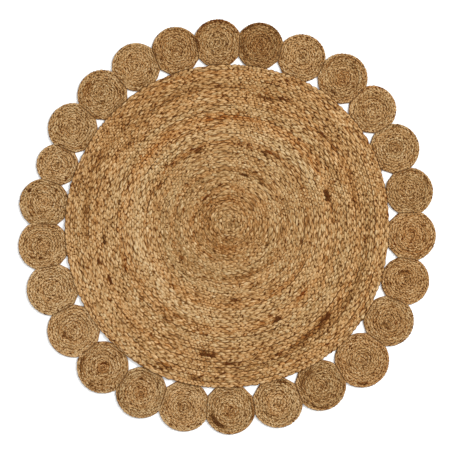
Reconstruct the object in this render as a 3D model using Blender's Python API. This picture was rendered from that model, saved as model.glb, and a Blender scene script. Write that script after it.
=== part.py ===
"""Round jute rug, lying flat: a big spirally wound disc inside a ring of 26 small coils.

The centre disc is one long three-strand jute plait wound flat into a spiral. Each rim coil is
a finer plait wound the same way, then pressed against its two neighbours and against the
centre disc, where it is sewn on. Every disc has a flat underside on Z = 0 and a top ridged
along its turns. X and Y run across the rug, +Z is up, and all sizes are in metres.
"""

import math
from collections import namedtuple

import bmesh
import bpy
from mathutils import Vector

MM = 0.001

# How a plait is wound. pitch: width of a ridge, so the spiral's pitch; valley and crest:
# heights of the seam between two ridges and of a ridge's back; columns: steps round the rim,
# of which every second is left out inside halved and three in four inside quartered, as
# shares of the radius, because the turns are short there.
Winding = namedtuple("Winding", "pitch valley crest columns halved quartered")

# A ridge from one seam to the next: a flat back between two sloping shoulders.
Step = namedtuple("Step", "across on_back")
RIDGE = (Step(0.0, False), Step(0.3, True), Step(0.7, True))

# ---- the centre disc ----
CENTRE_RADIUS = 469 * MM  # mean radius of its rim
CENTRE_WINDING = Winding(13.9 * MM, 6.2 * MM, 9.0 * MM, columns=40, halved=0.4, quartered=0.14)
WINDING_SHIFT = Vector((4.3 * MM, 7.5 * MM))  # the first turn lies this far off the rim's centre

# The rim isn't a true circle: hand winding left it with a few low waves.
RimWave = namedtuple("RimWave", "lobes height crest_angle")
RIM_WAVES = (
    RimWave(2, 2.9 * MM, 36),
    RimWave(3, 1.0 * MM, -45),
    RimWave(4, 2.9 * MM, -43),
    RimWave(5, 1.9 * MM, 35),
)

# ---- the rim coils ----
# Two turns of their 8 mm plait lie together as one ridge.
COIL_WINDING = Winding(16.0 * MM, 5.2 * MM, 7.0 * MM, columns=20, halved=0.75, quartered=0.35)
COIL_PRESS = 2.0 * MM  # every coil is pressed at least this far onto the rim

# bearing: degrees round the rug from +X; reach: mm from the rug's centre to the coil's;
# width: mm across the coil where nothing presses on it.
Coil = namedtuple("Coil", "bearing reach width")
COILS = (
    Coil(93.1, 529, 140),
    Coil(80.0, 529, 136),
    Coil(66.4, 530, 139),
    Coil(52.2, 540, 145),
    Coil(39.0, 537, 138),
    Coil(25.0, 531, 144),
    Coil(10.9, 533, 138),
    Coil(357.2, 528, 147),
    Coil(343.0, 535, 140),
    Coil(329.6, 538, 146),
    Coil(315.1, 546, 158),
    Coil(300.3, 530, 148),
    Coil(285.8, 527, 147),
    Coil(270.7, 526, 148),
    Coil(256.3, 533, 148),
    Coil(242.5, 540, 148),
    Coil(228.4, 543, 150),
    Coil(214.1, 537, 153),
    Coil(199.8, 537, 150),
    Coil(185.9, 535, 145),
    Coil(172.8, 534, 143),
    Coil(160.1, 523, 121),
    Coil(147.6, 530, 143),
    Coil(133.6, 524, 145),
    Coil(119.9, 531, 139),
    Coil(106.5, 528, 140),
)

# ---- all discs ----
GAP = 0.3 * MM  # between two pieces that are sewn together
RIM_HEIGHT = 3.5 * MM  # the widest line of an edge, where two discs touch
UNDERCUT = 1.5 * MM  # how far the underside stays inside that line
WELD = 0.01 * MM
CREASE_ANGLE = math.radians(15)
SEARCH_STEPS = 30  # halvings in a search along a line or an arc

CENTRE_COLOUR = (0.42, 0.25, 0.10, 1)
COIL_COLOUR = (0.36, 0.22, 0.10, 1)
JUTE_ROUGHNESS = 0.85


def on_circle(radius, angle):
    """The point of a circle about the origin, at an angle in radians."""
    return Vector((radius * math.cos(angle), radius * math.sin(angle)))


def rim_radius(angle):
    """How far the centre disc reaches at an angle in radians."""
    waves = (w.height * math.cos(w.lobes * (angle - math.radians(w.crest_angle))) for w in RIM_WAVES)
    return CENTRE_RADIUS + sum(waves)


def coil_radius(coil):
    return coil.width * MM / 2


def coil_centre(coil):
    """A coil's place beside the rim, close enough to be pressed onto it."""
    angle = math.radians(coil.bearing)
    furthest = rim_radius(angle) + coil_radius(coil) - COIL_PRESS
    return on_circle(min(coil.reach * MM, furthest), angle)


def space_to_neighbour(coil, neighbour, angle):
    """How far a coil reaches at an angle before the straight seam that it shares with a neighbour."""
    way = coil_centre(neighbour) - coil_centre(coil)
    apart = way.length
    seam = (apart**2 + coil_radius(coil) ** 2 - coil_radius(neighbour) ** 2) / (2 * apart) - GAP / 2
    towards = way.normalized().dot(on_circle(1, angle))
    return seam / towards if towards > 0 else math.inf


def over_rim(point):
    """Whether a point lies on the centre disc, or nearer to it than the gap."""
    return point.length < rim_radius(math.atan2(point.y, point.x)) + GAP


def space_to_rim(coil, angle):
    """How far a coil reaches at an angle before it meets the rim of the centre disc, if it does."""
    centre = coil_centre(coil)
    inside, outside = 0.0, coil_radius(coil)
    if not over_rim(centre + on_circle(outside, angle)):
        return math.inf
    for _ in range(SEARCH_STEPS):
        middle = (inside + outside) / 2
        if over_rim(centre + on_circle(middle, angle)):
            outside = middle
        else:
            inside = middle
    return inside


def coil_limits(number, angle):
    """What may end a coil at an angle: its own size, its two neighbours and the rim, in that order."""
    coil = COILS[number]
    before, after = COILS[number - 1], COILS[(number + 1) % len(COILS)]
    return (
        coil_radius(coil),
        space_to_neighbour(coil, before, angle),
        space_to_neighbour(coil, after, angle),
        space_to_rim(coil, angle),
    )


def ended_by(number, angle):
    """Which of its limits ends a coil at an angle."""
    limits = coil_limits(number, angle)
    return limits.index(min(limits))


def corner_near(number, angle, within):
    """The angle of a coil's corner, where one limit takes over from another, or the angle itself."""
    low, high = angle - within, angle + within
    first = ended_by(number, low)
    if first == ended_by(number, high):
        return angle
    for _ in range(SEARCH_STEPS):
        middle = (low + high) / 2
        if ended_by(number, middle) == first:
            low = middle
        else:
            high = middle
    return low


def even_angles(columns, start=0.0):
    return [start + math.tau * column / columns for column in range(columns)]


def centre_outline():
    """Angle and reach of the centre disc at each of its columns."""
    return [(angle, rim_radius(angle)) for angle in even_angles(CENTRE_WINDING.columns)]


def coil_outline(number):
    """Angle and reach of a coil at each of its columns: round where it is free, and pressed
    flat along its neighbours and the rim. The first column points at the centre disc."""
    inward = math.radians(COILS[number].bearing) + math.pi
    half_step = math.pi / COIL_WINDING.columns
    angles = [corner_near(number, a, half_step) for a in even_angles(COIL_WINDING.columns, inward)]
    return [(angle, min(coil_limits(number, angle))) for angle in angles]


def shared_column(column, share, winding):
    """The column whose angle a column takes at a share of the radius."""
    if share < winding.quartered:
        return column - column % 4
    if share < winding.halved:
        return column - column % 2
    return column


def share_of_radius(row, column, radius, winding):
    """How far out a row of the spiral runs at a column, from 0 at the centre to 1 at the rim."""
    turn = row // len(RIDGE) + RIDGE[row % len(RIDGE)].across + column / winding.columns
    return min(max(turn * winding.pitch / radius, 0), 1)


def disc_point(row, column, radius, outline, winding, shift):
    """A point of a disc's top, where each row is a line that runs along the spiral.

    Past the edge all rows fall on the rim line, and before the start of the spiral on its
    centre, and they are welded there, as are the points of columns that share an angle.
    """
    step = RIDGE[row % len(RIDGE)]
    column = shared_column(column, share_of_radius(row, column, radius, winding), winding)
    share = share_of_radius(row, column, radius, winding)
    if share == 1:
        height = RIM_HEIGHT
    elif share > 0 and step.on_back:
        height = winding.crest
    else:
        height = winding.valley
    angle, reach = outline[column % winding.columns]
    pressed = 1 - (1 - reach / radius) * share**2
    flat = on_circle(share * radius * pressed, angle) + shift * (1 - share**2)
    return flat.x, flat.y, height


def add_disc(name, collection, radius, outline, winding, shift=Vector((0, 0))):
    """One wound disc as a closed solid about its own centre.

    radius is how far it reaches where nothing presses on it, outline its angle and reach at
    each column, and shift moves the first turn off the centre.
    """
    mesh = bmesh.new()
    turns = math.ceil(radius / winding.pitch)
    grid = [
        [
            mesh.verts.new(disc_point(row, column, radius, outline, winding, shift))
            for column in range(winding.columns + 1)
        ]
        for row in range(-len(RIDGE), len(RIDGE) * turns + 1)
    ]
    for inner, outer in zip(grid, grid[1:]):
        for column in range(winding.columns):
            mesh.faces.new((inner[column], outer[column], outer[column + 1], inner[column + 1]))
    bmesh.ops.remove_doubles(mesh, verts=mesh.verts, dist=WELD)
    bmesh.ops.dissolve_degenerate(mesh, edges=mesh.edges, dist=WELD)
    add_underside(mesh)
    bmesh.ops.recalc_face_normals(mesh, faces=mesh.faces)
    data = bpy.data.meshes.new(name)
    mesh.to_mesh(data)
    mesh.free()
    data.shade_smooth()
    data.set_sharp_from_angle(angle=CREASE_ANGLE)
    disc = bpy.data.objects.new(name, data)
    collection.objects.link(disc)
    return disc


def add_underside(mesh):
    """Rolls the edge in below the rim line and closes the flat face that lies on the floor."""
    rim = [edge for edge in mesh.edges if edge.is_boundary]
    rolled = bmesh.ops.extrude_edge_only(mesh, edges=rim)["geom"]
    for vert in (item for item in rolled if isinstance(item, bmesh.types.BMVert)):
        flat = Vector((vert.co.x, vert.co.y, 0))
        vert.co = flat - flat.normalized() * UNDERCUT
    foot = [item for item in rolled if isinstance(item, bmesh.types.BMEdge)]
    bmesh.ops.contextual_create(mesh, geom=foot)


def jute(name, colour):
    """The dry plant fibre of one disc."""
    material = bpy.data.materials.new(name)
    material.use_nodes = True
    shader = material.node_tree.nodes["Principled BSDF"]
    shader.inputs["Base Color"].default_value = colour
    shader.inputs["Roughness"].default_value = JUTE_ROUGHNESS
    shader.inputs["Metallic"].default_value = 0
    return material


def add_centre_disc(collection):
    name = "centre_disc"
    disc = add_disc(name, collection, CENTRE_RADIUS, centre_outline(), CENTRE_WINDING, WINDING_SHIFT)
    disc.data.materials.append(jute("golden_jute", CENTRE_COLOUR))
    return disc


def add_rim_coil(number, collection):
    """A small coil, wound so that its outer end lies hidden against the centre disc."""
    coil = COILS[number]
    name = f"rim_coil_{number + 1:02d}"
    disc = add_disc(name, collection, coil_radius(coil), coil_outline(number), COIL_WINDING)
    disc.location = (*coil_centre(coil), 0)
    disc.data.materials.append(jute(f"{name}_jute", COIL_COLOUR))
    return disc


def middle_of(objects):
    """The middle of the box round some objects, in X and Y."""
    bpy.context.view_layer.update()
    points = [item.matrix_world @ vert.co for item in objects for vert in item.data.vertices]
    low = [min(point[axis] for point in points) for axis in range(2)]
    high = [max(point[axis] for point in points) for axis in range(2)]
    return Vector(((low[0] + high[0]) / 2, (low[1] + high[1]) / 2, 0))


def main():
    for item in list(bpy.context.scene.objects):
        bpy.data.objects.remove(item, do_unlink=True)
    rug = bpy.data.collections.new("round_jute_rug")
    bpy.context.scene.collection.children.link(rug)
    discs = [add_centre_disc(rug)]
    discs += [add_rim_coil(number, rug) for number in range(len(COILS))]
    middle = middle_of(discs)
    for disc in discs:
        disc.location -= middle


main()
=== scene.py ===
"""Round jute rug, dressed: every packed disc becomes a real three-strand plait, wound and sewn.

The centre disc is one long plait wound into a spiral of 34 turns, and the 26 rim coils are
finer plaits wound the same way. Each plait is built strand by strand: a strand swings from one
edge of the plait to the other and crosses over one neighbour and under the next on its way.
A dark sheet of painted shade shows between the strands of every disc, and thread sews the discs together.
Sizes are in metres and angles in radians, unless a comment says otherwise.
"""

import logging
import math
from dataclasses import dataclass
from enum import Enum
from typing import Any, Sequence

import bpy
import numpy as np
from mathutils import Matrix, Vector

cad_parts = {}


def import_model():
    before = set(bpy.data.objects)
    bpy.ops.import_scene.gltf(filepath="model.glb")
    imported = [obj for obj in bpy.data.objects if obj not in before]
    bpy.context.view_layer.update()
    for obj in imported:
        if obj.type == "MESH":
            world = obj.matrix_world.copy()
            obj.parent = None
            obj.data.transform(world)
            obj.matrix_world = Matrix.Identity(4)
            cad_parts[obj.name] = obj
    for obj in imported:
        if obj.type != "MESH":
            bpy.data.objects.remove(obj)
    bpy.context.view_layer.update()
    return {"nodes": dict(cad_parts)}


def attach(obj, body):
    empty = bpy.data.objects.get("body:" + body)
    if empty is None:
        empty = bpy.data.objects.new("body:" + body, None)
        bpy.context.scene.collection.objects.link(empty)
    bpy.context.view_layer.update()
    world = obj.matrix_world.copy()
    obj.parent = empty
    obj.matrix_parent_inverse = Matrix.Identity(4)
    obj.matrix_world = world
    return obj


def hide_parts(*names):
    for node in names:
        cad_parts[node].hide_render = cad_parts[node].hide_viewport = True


MM = 0.001
BODY = "root"
LOG = logging.getLogger("round_jute_rug")

Array = np.ndarray
Material = bpy.types.Material
Object = bpy.types.Object
Tree = bpy.types.NodeTree
Node = bpy.types.Node
Socket = bpy.types.NodeSocket
Stops = Sequence[tuple[float, str]]  # places from 0 to 1 and hex colours


# ---- small helpers ----


def linear(hex_colour: str) -> tuple[float, float, float, float]:
    """Turns an sRGB hex colour into linear light.

    Args:
        hex_colour: a hash mark and six hex digits.

    Returns:
        Red, green and blue in linear light, and an alpha of 1.
    """
    channels = [int(hex_colour[at : at + 2], 16) / 255 for at in (1, 3, 5)]
    red, green, blue = [c / 12.92 if c <= 0.04045 else ((c + 0.055) / 1.055) ** 2.4 for c in channels]
    return red, green, blue, 1.0


def feed(tree: Tree, node: Node, inputs: dict[str | int, Any]) -> None:
    """Fills sockets of a node.

    Args:
        tree: the node tree.
        node: the node.
        inputs: what goes into its sockets: a value, or another node's output socket to link.
    """
    for socket, value in inputs.items():
        if isinstance(value, Socket):
            tree.links.new(value, node.inputs[socket])
        else:
            node.inputs[socket].default_value = value


def add_node(
    tree: Tree,
    kind: str,
    settings: dict[str, Any] | None = None,
    inputs: dict[str | int, Any] | None = None,
    stops: Stops = (),
) -> Node:
    """Adds one node to a material.

    Args:
        tree: the node tree.
        kind: Blender's name for the kind of node.
        settings: attributes of the node.
        inputs: what goes into its sockets, as for feed.
        stops: for a node with a colour ramp.

    Returns:
        The new node.
    """
    node = tree.nodes.new(kind)
    for name, value in (settings or {}).items():
        setattr(node, name, value)
    feed(tree, node, inputs or {})
    for number, (place, hex_colour) in enumerate(stops):
        ramp = node.color_ramp.elements
        stop = ramp[number] if number < 2 else ramp.new(place)
        stop.position = place
        stop.color = linear(hex_colour)
    return node


def new_piece(
    name: str, points: Array, faces: Sequence[Sequence[int]], attributes: dict[str, Array] | None = None
) -> Object:
    """Makes a smooth mesh and puts it in the scene.

    Args:
        name: the piece's name.
        points: the points of its mesh.
        faces: the numbers of each face's points.
        attributes: what its material reads at each point, a number or three.

    Returns:
        The piece.
    """
    mesh = bpy.data.meshes.new(name)
    mesh.from_pydata(points.tolist(), [], faces)
    mesh.shade_smooth()
    for key, values in (attributes or {}).items():
        kind, store = ("FLOAT_VECTOR", "vector") if values.shape[-1] == 3 else ("FLOAT", "value")
        layer = mesh.attributes.new(key, kind, "POINT")
        layer.data.foreach_set(store, values.astype(np.float32).ravel())
    piece = bpy.data.objects.new(name, mesh)
    bpy.context.scene.collection.objects.link(piece)
    return piece


def smooth(share: Array) -> Array:
    """Eases shares from 0 to 1, so that a change starts and ends gently."""
    return share * share * (3 - 2 * share)


def wrapped(angles: Array) -> Array:
    """The same directions as angles from -pi to pi."""
    return (angles + math.pi) % math.tau - math.pi


def all_round(count: int) -> Array:
    """Angles at even steps once round."""
    return math.tau * np.arange(count) / count


def directions(angles: Array) -> Array:
    """Unit vectors in the plane of the floor, one for each angle."""
    return np.stack([np.cos(angles), np.sin(angles)], axis=-1)


def drift(rng: np.random.Generator, at: Array, spacing: float) -> Array:
    """A smooth random curve of mean 0 and spread about 1, as hand work and plant fibre vary.

    Args:
        rng: the random generator.
        at: where the curve is wanted, in the unit of spacing.
        spacing: the distance between two independent values.

    Returns:
        One value for each place.
    """
    place = (at - at.min()) / spacing
    knots = rng.standard_normal(int(place.max()) + 3)
    before = place.astype(int)
    part = smooth(place - before)
    return knots[before] * (1 - part) + knots[before + 1] * part


def tube_rings(line: Array, half_width: Array, half_height: Array, sides: int) -> tuple[Array, Array]:
    """Sets a ring of points round each point of a line.

    Args:
        line: the points of the line.
        half_width: how far each ring reaches to its sides, level with the floor.
        half_height: how far it reaches up and down.
        sides: how many points a ring has.

    Returns:
        The rings, and how far each of their points lies aside of the line and above it.
    """
    way = np.gradient(line, axis=0)
    way /= np.linalg.norm(way, axis=1)[:, None]
    aside = np.cross(way, (0.0, 0.0, 1.0))
    aside /= np.linalg.norm(aside, axis=1)[:, None]
    upward = np.cross(aside, way)
    out = half_width[:, None] * np.cos(all_round(sides))
    up = half_height[:, None] * np.sin(all_round(sides))
    rings = line[:, None] + aside[:, None] * out[..., None] + upward[:, None] * up[..., None]
    return rings, np.stack([out, up], axis=-1)


def tube_faces(rings: int, sides: int, first: int) -> tuple[list[list[int]], list[list[int]]]:
    """Joins rings of points to a closed tube.

    Args:
        rings: how many rings it has.
        sides: how many points a ring has.
        first: the number of the first ring's first point.

    Returns:
        The faces along the tube, and the two that close its ends.
    """
    index = first + np.arange(rings * sides).reshape(-1, sides)
    beside = np.roll(index, -1, axis=1)
    along = np.stack([index[:-1], beside[:-1], beside[1:], index[1:]], axis=-1)
    return along.reshape(-1, 4).tolist(), [index[0][::-1].tolist(), index[-1].tolist()]


def triangles_of(piece: Object) -> int:
    """How many triangles a piece's mesh comes to."""
    return sum(len(face.vertices) - 2 for face in piece.data.polygons)


# ---- finishes ----


class Lot(Enum):
    """A lot of jute fibre by its look: how light it is and how warm, both from 0 to 1."""

    PALE = (0.625, 0.18)
    STRAW = (0.61, 0.19)
    TAN = (0.58, 0.19)
    GOLDEN = (0.58, 0.26)
    HONEY = (0.57, 0.34)
    DUN = (0.54, 0.25)
    BROWN = (0.505, 0.34)

    @property
    def tone(self) -> float:
        """How light the fibre is."""
        return self.value[0]

    @property
    def warmth(self) -> float:
        """How golden or red it is, where 0 is grey."""
        return self.value[1]


def fibre_pattern(tree: Tree, width: float, length: float, detail: float, fineness: float = 0.5) -> Socket:
    """Draws fibres that follow a strand, by the place inside it that the mesh gives.

    Args:
        tree: the node tree.
        width: of a fibre.
        length: of a fibre.
        detail: how many times finer fibres are laid over the first.
        fineness: how much the finer ones show, to 1.

    Returns:
        The pattern, from 0 to 1 and about 0.5 on average.
    """
    inside = add_node(tree, "ShaderNodeAttribute", {"attribute_name": "inside"})
    stretched = add_node(
        tree,
        "ShaderNodeVectorMath",
        {"operation": "MULTIPLY"},
        {0: inside.outputs["Vector"], 1: (1 / width, 1 / width, 1 / length)},
    ).outputs["Vector"]
    inputs = {"Vector": stretched, "Scale": 1.0, "Detail": detail, "Roughness": fineness}
    return add_node(tree, "ShaderNodeTexNoise", inputs=inputs).outputs["Fac"]


@dataclass(frozen=True)
class Finish:
    """A finish: how rough it is, its fine relief, and a surface that each kind draws its own way."""

    name: str
    roughness: float
    relief: float
    relief_strength: float

    def surface(self, tree: Tree) -> tuple[dict[str, Any], Socket]:
        """Draws the surface.

        Args:
            tree: the material's node tree.

        Returns:
            What goes into the shader's sockets, and the height of the relief from 0 to 1.
        """
        raise NotImplementedError

    def material(self) -> Material:
        """Builds the finish.

        Returns:
            The material.
        """
        material = bpy.data.materials.new(self.name)
        material.use_nodes = True
        tree = material.node_tree
        looks, height = self.surface(tree)
        inputs = {"Strength": self.relief_strength, "Distance": self.relief, "Height": height}
        bump = add_node(tree, "ShaderNodeBump", inputs=inputs)
        looks = {"Roughness": self.roughness, "Normal": bump.outputs["Normal"], **looks}
        feed(tree, tree.nodes["Principled BSDF"], looks)
        return material


@dataclass(frozen=True)
class PlaitedJute(Finish):
    """Raw jute, hand plaited from flat bundles of untwisted fibre.

    It is matt and dry. Long pale and dark fibres run along each strand, and a bundle goes from
    straw to red-brown along its length. Between the strands and along each strand's edges the
    colour is darkened to a deep warm brown: painted shade, by how deep each point lies. The mesh
    gives every strand its tone and warmth, how deep each point lies for that painted shade, and
    the place inside the strand, so the fibres follow each bend of the plait.
    """

    name: str = "raw_jute_hand_plaited"
    grey_fibre: Stops = (  # from dark to pale, where warmth is 0
        (0.0, "#44280f"),
        (0.2, "#684824"),
        (0.4, "#7f5f37"),
        (0.6, "#a18257"),
        (0.8, "#b59a72"),
        (1.0, "#c3ac88"),
    )
    russet_fibre: Stops = (  # the same where warmth is 1
        (0.0, "#552306"),
        (0.2, "#7b4212"),
        (0.4, "#925925"),
        (0.6, "#b47e45"),
        (0.8, "#c69664"),
        (1.0, "#d0a576"),
    )
    fibre_width: float = 2.6 * MM  # single fibres are 0.06 mm, so these are drawn as bundles
    fibre_length: float = 12 * MM
    fleck_width: float = 2.3 * MM  # root bark left on the fibre
    fleck_length: float = 9 * MM
    fibre_detail: float = 5.0  # times that finer fibres are laid over the bundles
    fleck_detail: float = 1.0
    fineness: float = 0.75  # how much the finer ones show, to 1
    streak_contrast: float = 2.4
    fleck_contrast: float = 0.5
    painted_shade_starts: float = 0.22  # how deep between the strands the painted shade begins, from 0 to 1
    # how far the painted shade darkens the tone where a point lies deepest
    painted_shade_darkness: float = 0.68
    roughness: float = 0.72  # where the fibre is smoothest
    roughest: float = 0.95
    relief: float = 0.35 * MM
    relief_strength: float = 1.0
    specular: float = 0.05  # low: the dry, ragged ends of the fibres scatter what would shine

    def surface(self, tree: Tree) -> tuple[dict[str, Any], Socket]:
        """Draws the surface.

        Args:
            tree: the material's node tree.

        Returns:
            What goes into the shader's sockets, and the height of the relief from 0 to 1.
        """
        tone, warmth, depth = (
            add_node(tree, "ShaderNodeAttribute", {"attribute_name": name}).outputs["Fac"]
            for name in ("tone", "warmth", "depth")
        )
        fibre = fibre_pattern(tree, self.fibre_width, self.fibre_length, self.fibre_detail, self.fineness)
        fleck = fibre_pattern(tree, self.fleck_width, self.fleck_length, self.fleck_detail, self.fineness)
        # painted shade: the tone darkens by how deep a point lies between the strands and at a strand's
        # edges
        painted_shade = add_node(
            tree,
            "ShaderNodeMapRange",
            {"interpolation_type": "SMOOTHSTEP"},
            {"Value": depth, "From Min": self.painted_shade_starts, "To Max": -self.painted_shade_darkness},
        )
        level = tone
        for value, contrast in (
            (fibre, self.streak_contrast),
            (fleck, self.fleck_contrast),
            (painted_shade.outputs["Result"], 1.0),
        ):
            level = add_node(
                tree, "ShaderNodeMath", {"operation": "MULTIPLY_ADD"}, {0: value, 1: contrast, 2: level}
            ).outputs[0]
        average = (self.streak_contrast + self.fleck_contrast) / 2
        level = add_node(
            tree, "ShaderNodeMath", {"operation": "SUBTRACT", "use_clamp": True}, {0: level, 1: average}
        ).outputs[0]
        grey, russet = (
            add_node(tree, "ShaderNodeValToRGB", inputs={"Fac": level}, stops=stops)
            for stops in (self.grey_fibre, self.russet_fibre)
        )
        colour = add_node(
            tree,
            "ShaderNodeMix",
            {"data_type": "RGBA"},
            {0: warmth, 6: grey.outputs["Color"], 7: russet.outputs["Color"]},
        )
        inputs = {"Value": fibre, "To Min": self.roughness, "To Max": self.roughest}
        dryness = add_node(tree, "ShaderNodeMapRange", inputs=inputs)
        looks = {
            "Base Color": colour.outputs[2],
            "Roughness": dryness.outputs["Result"],
            "Specular IOR Level": self.specular,
        }
        return looks, fibre


@dataclass(frozen=True)
class PaintedShadeFibre(Finish):
    """Painted shade: the sheet that shows between the strands, where a plait has only shade.

    It is coloured a dull dark brown, like jute fibre in shadow.
    """

    name: str = "jute_painted_shade"
    # dark browns like jute in shadow: painted shade
    colours: Stops = ((0.3, "#5c3a1c"), (0.7, "#a0784c"))
    fibre_width: float = 1.2 * MM
    fibre_length: float = 14 * MM
    fibre_detail: float = 3.0
    relief: float = 0.4 * MM
    relief_strength: float = 0.8
    roughness: float = 0.95
    specular: float = 0.05

    def surface(self, tree: Tree) -> tuple[dict[str, Any], Socket]:
        """Draws the surface.

        Args:
            tree: the material's node tree.

        Returns:
            What goes into the shader's sockets, and the height of the relief from 0 to 1.
        """
        fibres = fibre_pattern(tree, self.fibre_width, self.fibre_length, self.fibre_detail)
        colour = add_node(tree, "ShaderNodeValToRGB", inputs={"Fac": fibres}, stops=self.colours)
        return {"Base Color": colour.outputs["Color"], "Specular IOR Level": self.specular}, fibres


@dataclass(frozen=True)
class SewingThread(Finish):
    """Two-ply jute thread, twisted hard, so it is smoother and a little darker than the plait."""

    name: str = "jute_thread_twisted"
    colours: Stops = ((0.1, "#5a3c1f"), (0.6, "#94703f"))  # of the groove, darker as painted shade, and of the plies
    ply_length: float = 1.6 * MM
    waviness: float = 1.0  # of the plies, as plant fibre never twists evenly
    relief: float = 0.2 * MM
    relief_strength: float = 0.8
    roughness: float = 0.8

    WAVE = 0.63  # length of one wave of the pattern at a scale of 1

    def surface(self, tree: Tree) -> tuple[dict[str, Any], Socket]:
        """Draws the surface.

        Args:
            tree: the material's node tree.

        Returns:
            What goes into the shader's sockets, and the height of the relief from 0 to 1.
        """
        place = add_node(tree, "ShaderNodeTexCoord").outputs["Object"]
        plies = add_node(
            tree,
            "ShaderNodeTexWave",
            {"bands_direction": "DIAGONAL"},
            {"Vector": place, "Scale": self.WAVE / self.ply_length, "Distortion": self.waviness},
        ).outputs["Fac"]
        colour = add_node(tree, "ShaderNodeValToRGB", inputs={"Fac": plies}, stops=self.colours)
        return {"Base Color": colour.outputs["Color"]}, plies


@dataclass(frozen=True)
class PaintedFloor(Finish):
    """Matt white paint on a flat floor, rolled on, so it shows nothing but a very faint grain."""

    name: str = "white_paint_rolled"
    colour: str = "#f7f7f6"
    grain: float = 3 * MM
    grain_detail: float = 2.0
    relief: float = 0.05 * MM
    relief_strength: float = 0.1
    roughness: float = 0.9

    def surface(self, tree: Tree) -> tuple[dict[str, Any], Socket]:
        """Draws the surface.

        Args:
            tree: the material's node tree.

        Returns:
            What goes into the shader's sockets, and the height of the relief from 0 to 1.
        """
        place = add_node(tree, "ShaderNodeTexCoord").outputs["Object"]
        inputs = {"Vector": place, "Scale": 1 / self.grain, "Detail": self.grain_detail}
        grain = add_node(tree, "ShaderNodeTexNoise", inputs=inputs)
        return {"Base Color": linear(self.colour)}, grain.outputs["Fac"]


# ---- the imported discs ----


@dataclass(frozen=True)
class Rim:
    """The edge of one packed disc, read from its node: what a plait is wound to fill."""

    centre: Array
    angles: Array  # rising, from -pi to pi
    points: Array  # of the edge, about the centre
    outward: float | None  # direction of a rim coil's free side, or None for the centre disc

    HEIGHT = 3.5 * MM  # the widest line of every packed edge
    SAME = 0.05 * MM  # how near to that line, or to each other, points count as the same
    ROUND_SIDE = math.radians(75)  # a coil is round this far to both sides of its outermost point
    SEWN_FADE = math.radians(8)
    FREE_SHARE = 0.75  # of the edge's points, those that lie no further out than its widest reach

    @classmethod
    def of_node(cls, node: Object, rug_centre: Array | None = None) -> "Rim":
        """Reads a node's edge.

        Args:
            node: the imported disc.
            rug_centre: the middle of the centre disc, for a rim coil.

        Returns:
            The rim.
        """
        places = np.empty(len(node.data.vertices) * 3)
        node.data.vertices.foreach_get("co", places)
        places = places.reshape(-1, 3)
        edge = places[np.abs(places[:, 2] - cls.HEIGHT) < cls.SAME, :2]
        edge = np.unique(np.round(edge / cls.SAME), axis=0) * cls.SAME
        middle = edge.mean(axis=0)
        edge = edge[np.argsort(np.arctan2(*(edge - middle).T[::-1]))]
        after = np.roll(edge, -1, axis=0)
        cross = edge[:, 0] * after[:, 1] - after[:, 0] * edge[:, 1]
        centre = ((edge + after) * cross[:, None]).sum(axis=0) / (3 * cross.sum())
        angles = np.arctan2(*(edge - centre).T[::-1])
        order = np.argsort(angles)
        outward = None if rug_centre is None else math.atan2(*(centre - rug_centre)[::-1])
        return cls(centre, angles[order], (edge - centre)[order], outward)

    @property
    def widest(self) -> float:
        """How far the disc reaches where nothing presses on it."""
        return float(np.quantile(np.linalg.norm(self.points, axis=1), self.FREE_SHARE))

    def reach(self, angles: Array) -> Array:
        """How far the disc reaches, along the arc where it is round and the straight seam where
        it is pressed.

        Args:
            angles: directions from the centre.

        Returns:
            The distance from the centre to the edge in each direction.
        """
        turned = wrapped(angles)
        after = np.searchsorted(self.angles, turned) % len(self.angles)
        start, end = self.points[after - 1], self.points[after]
        way = directions(turned)
        side = end - start
        crossing = start[..., 0] * side[..., 1] - start[..., 1] * side[..., 0]
        straight = crossing / (way[..., 0] * side[..., 1] - way[..., 1] * side[..., 0])
        opening = (self.angles[after] - self.angles[after - 1]) % math.tau
        part = ((turned - self.angles[after - 1]) % math.tau) / opening
        arc = np.linalg.norm(start, axis=-1) * (1 - part) + np.linalg.norm(end, axis=-1) * part
        return arc if self.outward is None else np.where(self.sewn(turned) > 0, straight, arc)

    def sewn(self, angles: Array) -> Array:
        """Where the disc is sewn to others.

        Args:
            angles: directions from the centre.

        Returns:
            1 on the sewn side, 0 on the free side, and between them where one becomes the other.
        """
        if self.outward is None:
            return np.ones(np.shape(angles))
        off_outward = np.abs(wrapped(angles - self.outward))
        return np.clip((off_outward - self.ROUND_SIDE) / self.SEWN_FADE, 0, 1)


# ---- plaits ----


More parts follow.
